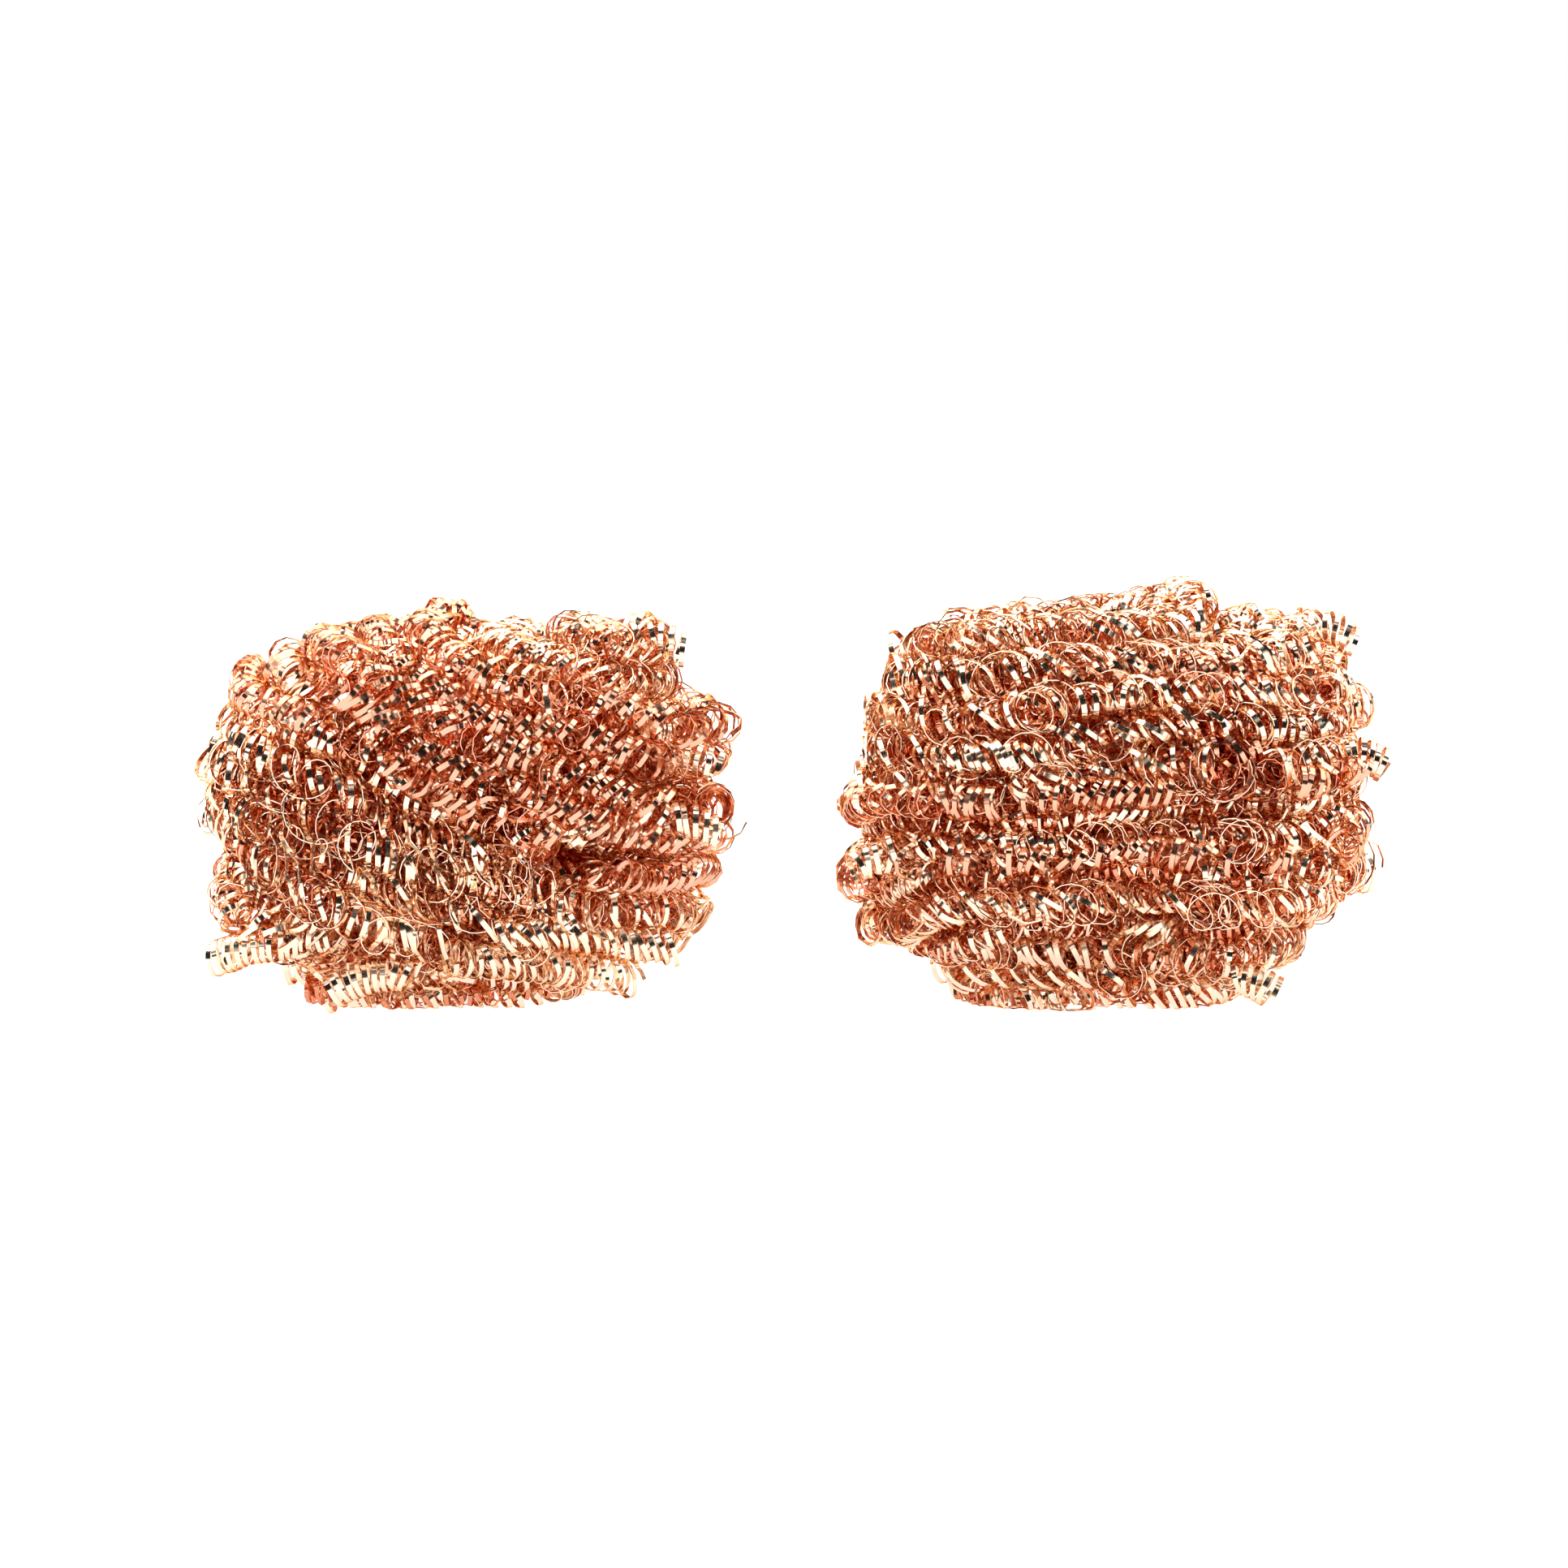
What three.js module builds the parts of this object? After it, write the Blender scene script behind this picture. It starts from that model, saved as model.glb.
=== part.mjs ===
// Tip cleaning brass for a soldering bench: two loose pads of curled metal ribbon.
//
// Each pad is a ball wound from separate strands. A strand is thin flat ribbon, curled into a long
// spring, and it is modelled here as a solid tube of the spring's outside diameter. Outer strands go
// once round the pad, side by side in rows. The rows at the two ends of the winding coil inwards and
// close the pad off. Thicker inner strands, which are several springs laid together, coil inside
// them, core strands stand in the middle of those, and a flat base strand lies under the pad, where
// it rests on the bench.
//
// Units are millimetres, +Z is up, and the origin is on the bench midway between the pads.

import * as THREE from "three";

// Driving dimensions.
const STRAND_DIAMETER = 3.6;
const INNER_STRAND_DIAMETER = 6.6;
const CORE_STRAND_DIAMETER = 7.6;
const STRAND_CLEARANCE = 0.3;
const CORE_END_GAP = 1.8; // room for a core strand's ends, which aren't square to the rows
const PAD_SPACING = 16.6; // from one pad to the other, before the tails that stand off them

// What differs between the pads. slope is how the strands climb to the right at the middle of the
// pad, in degrees. bend is the radius of their sweep, with its centre above the pad, and a negative
// one has its centre below. seam is where on the round the strands' ends lie, as a share of it.
const PADS = [
  { name: "left_pad", side: -1, width: 58.8, depth: 46, height: 47.6, slope: -29, bend: 105, seam: 0.0 },
  { name: "right_pad", side: 1, width: 58.8, depth: 46, height: 48.2, slope: 4, bend: -400, seam: 0.0 },
];

// Superellipsoid exponents of a pad's two halves: 2 is an ellipsoid, and more is boxier.
const UPPER_ROUNDNESS = 4;
const LOWER_ROUNDNESS = 6;
const CORNER_SHARE = 0.85; // a round's corner radius as a share of its half depth
const BASE_SHARE = 0.64; // the base strand's reach as a share of the pad's
const END_ROWS = 2; // rows at each end of the winding that coil inwards
const SMALLEST_ROW = 5.5; // half length of the shortest row that is worth a strand
const ROUND_TURNS = 0.94; // an outer strand stops short of closing on itself
const SHORTEST_COIL = 0.8; // turns of a coil that has no room to go further in
const TIGHTEST_BEND = 0.9; // radius of the tightest bend, in strand diameters
const TAIL_FLARE = 1.6; // how far a strand's two tails stand off the pad
const SEAM_SCATTER = 0.26; // how far along the round the tails are scattered

const SECTION_SIDES = 8;
const STEP_DIAMETERS = 2.3; // length of one tube segment of an outer strand
const INNER_STEP_DIAMETERS = 1.3;

const STRAND_COLOUR = 0xd98a63;
const INNER_STRAND_COLOUR = 0xb5603c;

const ROW_PITCH = STRAND_DIAMETER + STRAND_CLEARANCE;
const INNER_PITCH = INNER_STRAND_DIAMETER + STRAND_CLEARANCE;
const FLAT_HEIGHT = (STRAND_DIAMETER / 2) * Math.cos(Math.PI / SECTION_SIDES);
const BASE_TOP = FLAT_HEIGHT + STRAND_DIAMETER / 2 + STRAND_CLEARANCE;

// A repeatable number from 0 to 1 that differs from row to row.
function scatter(index) {
  return (index * 0.6180339887 + 0.31) % 1;
}

// The space that a pad's outer strands fill, above its base strand and the dip of their tails.
class Envelope {
  constructor(pad) {
    const tailDip = TAIL_FLARE * Math.abs(Math.sin(THREE.MathUtils.degToRad(pad.slope)));
    const bottom = BASE_TOP + tailDip;
    this.middle = (bottom + pad.height) / 2;
    this.halfWidth = (pad.width - STRAND_DIAMETER) / 2;
    this.halfDepth = (pad.depth - STRAND_DIAMETER) / 2;
    this.halfHeight = (pad.height - bottom - STRAND_DIAMETER) / 2;
  }

  // Whether a centreline may pass through the point.
  holds(point) {
    const roundness = point.z > this.middle ? UPPER_ROUNDNESS : LOWER_ROUNDNESS;
    const share =
      Math.abs(point.x / this.halfWidth) ** roundness +
      Math.abs(point.y / this.halfDepth) ** roundness +
      Math.abs((point.z - this.middle) / this.halfHeight) ** roundness;
    return share <= 1;
  }
}

// The curved sheet that one row lies on. The sheets of a pad are concentric cylinders along Y, so
// rows on two sheets are never nearer than the sheets are. u runs along the strands and y across.
class Sheet {
  constructor(pad, envelope, level) {
    this.slope = THREE.MathUtils.degToRad(pad.slope);
    this.bend = pad.bend;
    this.level = level;
    this.envelope = envelope;
  }

  point(u, y) {
    const angle = this.slope + u / this.bend;
    const radius = this.bend - this.level;
    return new THREE.Vector3(
      radius * Math.sin(angle) - this.bend * Math.sin(this.slope),
      y,
      this.envelope.middle + this.bend * Math.cos(this.slope) - radius * Math.cos(angle),
    );
  }

  // The stretch of the sheet inside the envelope: its low and high u, and its half depth.
  span() {
    const limit = 1.5 * this.envelope.halfWidth;
    const step = 0.02;
    let [low, high] = [Infinity, -Infinity];
    for (let u = -limit; u <= limit; u += step) {
      if (!this.envelope.holds(this.point(u, 0))) continue;
      low = Math.min(low, u);
      high = Math.max(high, u);
    }
    let halfDepth = 0;
    const middle = (low + high) / 2;
    while (high > low && this.envelope.holds(this.point(middle, halfDepth + step))) halfDepth += step;
    return { low, high, halfDepth };
  }
}

// A round on a sheet: a rounded rectangle, followed by a share of its length and an inset.
class Round {
  constructor(sheet, low, high, halfDepth) {
    this.sheet = sheet;
    this.middle = (low + high) / 2;
    this.halfLength = (high - low) / 2;
    this.halfDepth = halfDepth;
    this.corner = CORNER_SHARE * Math.min(this.halfLength, halfDepth);
    this.along = 2 * (this.halfLength - this.corner);
    this.across = 2 * (halfDepth - this.corner);
    this.quarter = (Math.PI / 2) * this.corner;
    this.length = 2 * (this.along + this.across) + 4 * this.quarter;
  }

  // A share of 0 is at the high end of u, and the round goes towards the back.
  point(share, inset) {
    let rest = (((share % 1) + 1) % 1) * this.length + this.across / 2;
    const straights = [this.across, this.along, this.across, this.along, this.across];
    const corners = [
      [1, 1],
      [-1, 1],
      [-1, -1],
      [1, -1],
      [1, 1],
    ];
    for (let side = 0; side < straights.length; side += 1) {
      const turn = (side * Math.PI) / 2;
      const [signU, signY] = corners[side];
      const centreU = (signU * this.along) / 2;
      const centreY = (signY * this.across) / 2;
      if (rest <= straights[side]) {
        const back = straights[side] - rest;
        return this.place(centreU, centreY, turn, inset, back);
      }
      rest -= straights[side];
      if (rest <= this.quarter) return this.place(centreU, centreY, turn + rest / this.corner, inset, 0);
      rest -= this.quarter;
    }
    throw new Error("the share runs off the round");
  }

  // The point facing the angle from a corner's centre, set back along the straight before it.
  place(centreU, centreY, angle, inset, back) {
    const reach = this.corner - inset;
    const u = centreU + reach * Math.cos(angle) + back * Math.sin(angle);
    const y = centreY + reach * Math.sin(angle) - back * Math.cos(angle);
    return this.sheet.point(this.middle + u, y);
  }
}

// The strand's octagon section, with two of its flats square to the section's first axis.
function strandSection(diameter) {
  const section = new THREE.Shape();
  for (let side = 0; side < SECTION_SIDES; side += 1) {
    const angle = ((side + 0.5) * 2 * Math.PI) / SECTION_SIDES;
    const x = (diameter / 2) * Math.cos(angle);
    const y = (diameter / 2) * Math.sin(angle);
    if (side === 0) section.moveTo(x, y);
    else section.lineTo(x, y);
  }
  section.closePath();
  return section;
}

// A strand along the points, named and coloured.
function strandMesh(name, points, diameter, stepDiameters, colour) {
  const path = new THREE.CatmullRomCurve3(points, false, "centripetal");
  path.arcLengthDivisions = 600;
  const steps = Math.max(2, Math.round(path.getLength() / (diameter * stepDiameters)));
  const geometry = new THREE.ExtrudeGeometry(strandSection(diameter), { steps, extrudePath: path });
  const material = new THREE.MeshStandardMaterial({ color: colour, metalness: 1, roughness: 0.3 });
  const mesh = new THREE.Mesh(geometry, material);
  mesh.name = name;
  return mesh;
}

// Points along a round, from one share of it to another. insetAt gives the inset at each share.
function roundPoints(round, from, to, insetAt) {
  const count = Math.ceil(((to - from) * round.length) / (STRAND_DIAMETER * 0.6));
  const points = [];
  for (let i = 0; i <= count; i += 1) {
    const share = from + ((to - from) * i) / count;
    points.push(round.point(share, insetAt(share)));
  }
  return points;
}

// An outer strand: once round the pad, with both tails standing off it a little.
function outerStrand(pad, index, round) {
  const from = pad.seam + SEAM_SCATTER * (scatter(index) - 0.5);
  const to = from + ROUND_TURNS;
  const tail = 0.1;
  const insetAt = (share) => {
    const nearest = Math.min(share - from, to - share);
    return -TAIL_FLARE * Math.max(0, 1 - nearest / tail) ** 2;
  };
  const points = roundPoints(round, from, to, insetAt);
  const name = `${pad.name}_strand_${String(index + 1).padStart(2, "0")}`;
  return strandMesh(name, points, STRAND_DIAMETER, STEP_DIAMETERS, STRAND_COLOUR);
}

// How far in a strand may coil on its round. hollow is the half width that it leaves in the middle.
function deepestInset(round, diameter, hollow) {
  const room = Math.min(round.halfLength, round.halfDepth) - diameter / 2 - hollow;
  return Math.min(round.corner - TIGHTEST_BEND * diameter, Math.max(room, 0));
}

// A strand that coils inwards on its sheet, as far as its own thickness and the hollow let it.
function coilingStrand(name, round, from, diameter, stepDiameters, colour, hollow = 0) {
  const pitch = diameter + STRAND_CLEARANCE;
  const deepest = deepestInset(round, diameter, hollow);
  const turns = Math.max(SHORTEST_COIL, deepest / pitch);
  const insetAt = (share) => Math.min(pitch * (share - from), deepest);
  const points = roundPoints(round, from, from + turns, insetAt);
  return strandMesh(name, points, diameter, stepDiameters, colour);
}

// The flat strand under a pad. It lies in a level plane, so its underside is one flat face.
function baseStrand(pad, envelope) {
  const flat = { point: (u, y) => new THREE.Vector3(u, y, FLAT_HEIGHT) };
  const reach = BASE_SHARE * envelope.halfWidth;
  const round = new Round(flat, -reach, reach, BASE_SHARE * envelope.halfDepth);
  const name = `${pad.name}_base_strand`;
  return coilingStrand(name, round, 0.25, STRAND_DIAMETER, STEP_DIAMETERS, STRAND_COLOUR);
}

// The rows of a pad, from the lowest sheet to the highest.
function padRows(pad, envelope) {
  const rows = [];
  const most = Math.ceil(envelope.halfWidth / ROW_PITCH);
  for (let i = -most; i <= most; i += 1) {
    const sheet = new Sheet(pad, envelope, i * ROW_PITCH);
    const span = sheet.span();
    if (span.high - span.low > 2 * SMALLEST_ROW) rows.push({ sheet, ...span });
  }
  return rows;
}

// The levels between the rows that close the pad off.
function innerLevels(rows) {
  const gap = STRAND_DIAMETER / 2 + STRAND_CLEARANCE;
  return {
    low: rows[END_ROWS - 1].sheet.level + gap,
    high: rows[rows.length - END_ROWS].sheet.level - gap,
  };
}

// The round that an inner strand starts on. It keeps inside all the rows that the strand passes.
function innerRound(pad, envelope, rows, level) {
  const inset = STRAND_DIAMETER / 2 + STRAND_CLEARANCE + INNER_STRAND_DIAMETER / 2;
  const passed = rows.filter((row) => Math.abs(row.sheet.level - level) < inset);
  const lowEnd = Math.max(...passed.map((row) => row.low)) + inset;
  const highEnd = Math.min(...passed.map((row) => row.high)) - inset;
  const halfDepth = Math.min(...passed.map((row) => row.halfDepth)) - inset;
  return new Round(new Sheet(pad, envelope, level), lowEnd, highEnd, halfDepth);
}

// The rounds of the thick strands that coil inside the rows.
function innerRounds(pad, envelope, rows) {
  const { low, high } = innerLevels(rows);
  const count = Math.floor((high - low + STRAND_CLEARANCE) / INNER_PITCH);
  const rounds = [];
  for (let i = 0; i < count; i += 1) {
    const level = (low + high) / 2 + (i - (count - 1) / 2) * INNER_PITCH;
    rounds.push(innerRound(pad, envelope, rows, level));
  }
  return rounds;
}

// The line up the middle of the inner strands, and how much of their hollow a core strand takes.
class CoreLine {
  constructor(rounds) {
    this.rounds = rounds;
    const steps = rounds.slice(1).map((round, i) => Math.abs(round.middle - rounds[i].middle));
    const lean = Math.max(0, ...steps) / INNER_PITCH;
    const radius = (CORE_STRAND_DIAMETER / 2) * Math.hypot(1, lean);
    this.hollow = radius + (lean * INNER_STRAND_DIAMETER) / 2 + STRAND_CLEARANCE;
  }

  // Where the middle of the inner strands lies along u at a level.
  middleAt(level) {
    const last = this.rounds.length - 1;
    const place = Math.min(Math.max((level - this.rounds[0].sheet.level) / INNER_PITCH, 0), last);
    const below = this.rounds[Math.floor(place)];
    const above = this.rounds[Math.ceil(place)];
    return below.middle + (above.middle - below.middle) * (place % 1);
  }

  // How many core strands fit side by side.
  count() {
    const widths = this.rounds.map((round) => {
      const deepest = deepestInset(round, INNER_STRAND_DIAMETER, this.hollow);
      return 2 * (round.halfLength - deepest - INNER_STRAND_DIAMETER / 2 - this.hollow);
    });
    return 1 + Math.max(0, Math.floor(Math.min(...widths) / (CORE_STRAND_DIAMETER + STRAND_CLEARANCE)));
  }
}

// The strands that stand side by side in the hollow that the inner strands leave, as many as fit.
function coreStrands(pad, envelope, rows, core) {
  const { low, high } = innerLevels(rows);
  const pitch = CORE_STRAND_DIAMETER + STRAND_CLEARANCE;
  const count = core.count();
  const strands = [];
  for (let i = 0; i < count; i += 1) {
    const points = [];
    for (let part = 0; part <= 8; part += 1) {
      const level = low + CORE_END_GAP + ((high - low - 2 * CORE_END_GAP) * part) / 8;
      const sheet = new Sheet(pad, envelope, level);
      points.push(sheet.point(core.middleAt(level) + (i - (count - 1) / 2) * pitch, 0));
    }
    const name = `${pad.name}_core_strand_${i + 1}`;
    const step = INNER_STEP_DIAMETERS;
    strands.push(strandMesh(name, points, CORE_STRAND_DIAMETER, step, INNER_STRAND_COLOUR));
  }
  return strands;
}

// One whole pad, as a list of strands in its own place on the bench.
function buildPad(pad) {
  const envelope = new Envelope(pad);
  const rows = padRows(pad, envelope);
  const strands = [baseStrand(pad, envelope)];
  rows.forEach((row, index) => {
    const round = new Round(row.sheet, row.low, row.high, row.halfDepth);
    const isEnd = index < END_ROWS || index >= rows.length - END_ROWS;
    if (isEnd) {
      const name = `${pad.name}_end_strand_${String(index + 1).padStart(2, "0")}`;
      const from = pad.seam + scatter(index);
      const step = STEP_DIAMETERS;
      strands.push(coilingStrand(name, round, from, STRAND_DIAMETER, step, STRAND_COLOUR));
    } else {
      strands.push(outerStrand(pad, index, round));
    }
  });
  const rounds = innerRounds(pad, envelope, rows);
  const core = new CoreLine(rounds);
  rounds.forEach((round, index) => {
    const name = `${pad.name}_inner_strand_${index + 1}`;
    const step = INNER_STEP_DIAMETERS;
    const turn = scatter(index);
    const diameter = INNER_STRAND_DIAMETER;
    strands.push(coilingStrand(name, round, turn, diameter, step, INNER_STRAND_COLOUR, core.hollow));
  });
  strands.push(...coreStrands(pad, envelope, rows, core));
  const shift = (pad.side * (PAD_SPACING + pad.width)) / 2;
  strands.forEach((strand) => strand.geometry.translate(shift, 0, 0));
  return strands;
}

const object = new THREE.Group();
object.name = "tip_cleaning_brass";
PADS.forEach((pad) => object.add(...buildPad(pad)));

// Bring the middle of the whole object over the origin.
object.updateMatrixWorld(true);
const bounds = new THREE.Box3().setFromObject(object, true);
const centre = bounds.getCenter(new THREE.Vector3());
object.children.forEach((strand) => strand.geometry.translate(-centre.x, -centre.y, 0));

export default object;
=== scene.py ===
"""Tip cleaning brass: two loose pads of curled metal ribbon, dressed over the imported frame.

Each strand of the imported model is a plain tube. Here every strand becomes what it stands for: thin
flat ribbon, curled turn after turn into long springs. The springs are a little wider than the tubes,
so that they lie in one another, and they lean, bulge and let single curls stand out.
"""

from __future__ import annotations

import logging
import math
from dataclasses import dataclass, field, replace
from enum import Enum

import bmesh
import bpy
import numpy as np
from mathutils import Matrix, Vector

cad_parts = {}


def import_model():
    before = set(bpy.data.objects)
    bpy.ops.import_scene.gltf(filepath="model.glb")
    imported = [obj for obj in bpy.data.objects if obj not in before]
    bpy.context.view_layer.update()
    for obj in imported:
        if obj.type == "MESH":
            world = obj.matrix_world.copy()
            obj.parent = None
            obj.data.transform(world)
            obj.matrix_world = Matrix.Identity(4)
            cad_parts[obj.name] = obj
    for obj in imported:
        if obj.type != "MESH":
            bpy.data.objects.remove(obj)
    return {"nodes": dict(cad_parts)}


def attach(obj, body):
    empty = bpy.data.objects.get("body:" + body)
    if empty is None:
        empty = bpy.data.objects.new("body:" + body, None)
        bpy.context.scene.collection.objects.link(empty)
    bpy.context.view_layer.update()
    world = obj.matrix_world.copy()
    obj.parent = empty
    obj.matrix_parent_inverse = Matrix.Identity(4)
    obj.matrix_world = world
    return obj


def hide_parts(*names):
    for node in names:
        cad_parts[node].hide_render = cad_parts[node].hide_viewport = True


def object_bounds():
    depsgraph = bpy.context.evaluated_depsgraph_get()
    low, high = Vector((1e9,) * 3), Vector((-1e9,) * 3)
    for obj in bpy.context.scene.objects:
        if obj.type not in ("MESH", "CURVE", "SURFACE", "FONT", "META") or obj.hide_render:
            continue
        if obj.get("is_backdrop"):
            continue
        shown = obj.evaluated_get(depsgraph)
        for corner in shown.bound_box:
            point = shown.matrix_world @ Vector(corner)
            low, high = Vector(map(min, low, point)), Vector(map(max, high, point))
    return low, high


LOG = logging.getLogger("tip_cleaning_brass")

MM = 0.001
TURN = 2.0 * math.pi

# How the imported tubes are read: their number of sides, the angle in radians under which two faces
# are one flat, and the distance in metres under which two corners are one.
TUBE_SIDES = 8
SAME_FLAT = 0.01
SAME_CORNER = 1e-6

# How middle lines are drawn: the points worked out between two corners of a coarse line, the fewest
# points that a line may have, and the spacing of the points on a strand and on a free end.
CURVE_STEPS = 24
FEWEST_POINTS = 4
STRAND_STEP = 0.25 * MM
FREE_END_STEP = 0.2 * MM

# The least and the most that a burst's reach and its height are multiplied by.
BURST_REACHES = (0.7, 1.4)
BURST_HEIGHTS = (0.75, 1.0)

# How a spring changes along its length. Each pair is an amount and how far apart the value is free to
# change: in metres for the spacing of the turns, and in turns for everything else. Sizes are shares of
# the radius, straying is a share of the spring's wander, and angles are in degrees.
SPACING_CHANGES = ((0.42, 8 * MM), (0.22, 2.4 * MM))
SIZE_CHANGES = ((0.09, 0.9), (0.12, 5.0))
STRAYING = ((1.0, 6.0), (0.6, 0.8))
LEAN_CHANGES = ((18.0, 6.0), (16.0, 0.9))
YAW_CHANGES = ((45.0, 7.0), (16.0, 0.9))
TWIST_CHANGES = ((16.0, 1.3), (12.0, 0.5))

# How much of a turn a curl runs ahead or behind, and how far apart that is free to change, in turns.
PHASE_CHANGE = 0.06
PHASE_SPACING = 1.1

# Stretches that are pulled straight: their mean distance and their reach along the strand.
PULLED_APART = 24 * MM
PULLED_REACH = 2.4 * MM

# A curl that has flopped over: its reach in turns, how abruptly it flops, how many turns apart its side
# may change, how far it yaws in degrees, how much larger it is as a share of the radius, how far it
# stands out in millimetres, and the share of its twist that it loses.
FLOP_REACH = 0.95
FLOP_STEEPNESS = 6
FLOP_SIDES = 7.0
FLOP_YAW = 85
FLOP_GROWTH = 0.15
FLOP_OUTWARDS = 1.7
FLOP_STIFFNESS = 0.6

# A curl that has swollen: the turns from one to the next, its reach in turns, and its share of radius.
SWELL_APART = 14.0
SWELL_REACH = 0.8
SWELL_GROWTH = 0.2

# Faces that meet at less than this angle are shaded as one.
SMOOTH_BELOW = math.radians(50)

# The slow waves that push a pad's rows about: their number, their lengths in millimetres, and the
# share of each that is taken, so that together they push about as far as the pad's heave and dent say.
WAVES = 9
WAVE_LENGTHS = (16, 42)
WAVE_SHARE = 0.47

# Where the pressed corner starts to the left of the pad's middle, how many such lengths further the
# pressing still grows, and how far the crown reaches.
CORNER_START = 11 * MM
CORNER_GROWTH = 1.5
CROWN_REACH = 12 * MM

# How a row runs past its tube's ends, and how it drifts along the winding axis and in and out.
ROW_PAST = 3.5 * MM
ROW_RISE = 0.45 * MM
ROW_SWAY = 0.3 * MM
ROW_DRIFT = 9 * MM

# The share of the waves' push that a base strand takes, the least and the most that a strand's springs
# are swollen, and the gap that is left between the ribbon and the bench.
BASE_PUSH = 0.15
FULLNESS = (0.88, 1.12)
BENCH_GAP = 0.05 * MM

# A free end's coarse line has this many corners, and its curls are laid out from this direction.
FREE_END_CORNERS = 7
FREE_END_AXIS = (0.1, 0.3, 1.0)

# How far round the middle of a bundle its first spring lies, in radians.
BUNDLE_START = 0.4

# The camera's sensor, in millimetres, and how far above the middle of the pads it looks.
SENSOR_WIDTH = 36.0
LOOK_ABOVE = 0.9 * MM


def linear(hex_colour: str) -> tuple[float, float, float, float]:
    """Turn an sRGB hex colour into a linear one.

    Args:
        hex_colour: Six hex digits, with or without a leading hash.

    Returns:
        Linear red, green and blue, and an alpha of 1.
    """
    digits = hex_colour.lstrip("#")
    channels = [int(digits[i : i + 2], 16) / 255.0 for i in (0, 2, 4)]
    bent = [c / 12.92 if c <= 0.04045 else ((c + 0.055) / 1.055) ** 2.4 for c in channels]
    return bent[0], bent[1], bent[2], 1.0


def add_node(
    tree: bpy.types.NodeTree,
    kind: str,
    settings: dict[str, object] | None = None,
    inputs: dict[str | int, object] | None = None,
) -> bpy.types.Node:
    """Add a node with its settings, its socket values and its incoming links.

    Args:
        tree: The node tree to add to.
        kind: The node's type name.
        settings: Properties of the node itself.
        inputs: Socket name or number to a plain value, or to the output socket that feeds it.

    Returns:
        The new node.
    """
    node = tree.nodes.new(kind)
    for name, value in (settings or {}).items():
        setattr(node, name, value)
    for name, value in (inputs or {}).items():
        if isinstance(value, bpy.types.NodeSocket):
            tree.links.new(value, node.inputs[name])
        else:
            node.inputs[name].default_value = value
    return node


def add_ramp(
    tree: bpy.types.NodeTree,
    value: bpy.types.NodeSocket,
    start: tuple[float, float],
    end: tuple[float, float] = (0.0, 1.0),
    kind: str = "LINEAR",
) -> bpy.types.NodeSocket:
    """Add a node that turns one span of values into another.

    Args:
        tree: The node tree to add to.
        value: The value to turn.
        start: The span that it comes in.
        end: The span that it leaves in.
        kind: How it moves from one end of the span to the other.

    Returns:
        The node's result.
    """
    inputs = {"Value": value, "From Min": start[0], "From Max": start[1], "To Min": end[0], "To Max": end[1]}
    return add_node(tree, "ShaderNodeMapRange", {"interpolation_type": kind}, inputs).outputs["Result"]


def deselect_all() -> None:
    """Leave nothing selected, so that the next operator acts only on what it is given."""
    bpy.ops.object.select_all(action="DESELECT")


def make_active(piece: bpy.types.Object) -> None:
    """Select one piece alone and make it the active one."""
    deselect_all()
    piece.select_set(True)
    bpy.context.view_layer.objects.active = piece


# ---------------------------------------------------------------------------------------------
# Shapes along a strand
# ---------------------------------------------------------------------------------------------


def unit(vectors: np.ndarray) -> np.ndarray:
    """Scale each row of an array to length 1."""
    return vectors / np.maximum(np.linalg.norm(vectors, axis=1, keepdims=True), 1e-12)


def bursts(
    rng: np.random.Generator, along: np.ndarray, spacing: float, spread: float, steepness: int = 2
) -> np.ndarray:
    """Give a value that is 0 but for short smooth bursts towards 1, here and there along a strand.

    Args:
        rng: The strand's own random numbers.
        along: The places that the value is wanted at, rising.
        spacing: The mean distance from one burst to the next.
        spread: How far a burst reaches to each side.
        steepness: 2 for a rounded burst, and more for one with a flat top and steep sides.

    Returns:
        One value for each place.
    """
    total = np.zeros(len(along))
    reach = along[-1] - along[0]
    for middle in along[0] + reach * rng.random(rng.poisson(reach / spacing)):
        wide = spread * rng.uniform(*BURST_REACHES)
        shape = np.exp(-(np.abs((along - middle) / wide) ** steepness))
        total = np.maximum(total, rng.uniform(*BURST_HEIGHTS) * shape)
    return total


def drift(rng: np.random.Generator, along: np.ndarray, spacing: float) -> np.ndarray:
    """Give a value from about -1 to 1 that changes smoothly along a strand.

    Args:
        rng: The strand's own random numbers.
        along: The places that the value is wanted at, rising.
        spacing: How far apart the value is free to change.

    Returns:
        One value for each place.
    """
    place = (along - along[0]) / spacing
    knots = rng.uniform(-1.0, 1.0, int(place[-1]) + 4)
    low = np.floor(place).astype(int)
    t = place - low
    a, b, c, d = (knots[low + i] for i in range(4))
    return 0.5 * (2 * b + (c - a) * t + (2 * a - 5 * b + 4 * c - d) * t**2 + (3 * b - a - 3 * c + d) * t**3)


def drifts(
    rng: np.random.Generator, along: np.ndarray, changes: tuple[tuple[float, float], ...]
) -> np.ndarray:
    """Add up several drifts, such as a slow wide one and a quick narrow one.

    Args:
        rng: The strand's own random numbers.
        along: The places that the value is wanted at, rising.
        changes: The amount and the spacing of each drift.

    Returns:
        One value for each place.
    """
    return sum(amount * drift(rng, along, spacing) for amount, spacing in changes)


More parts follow.
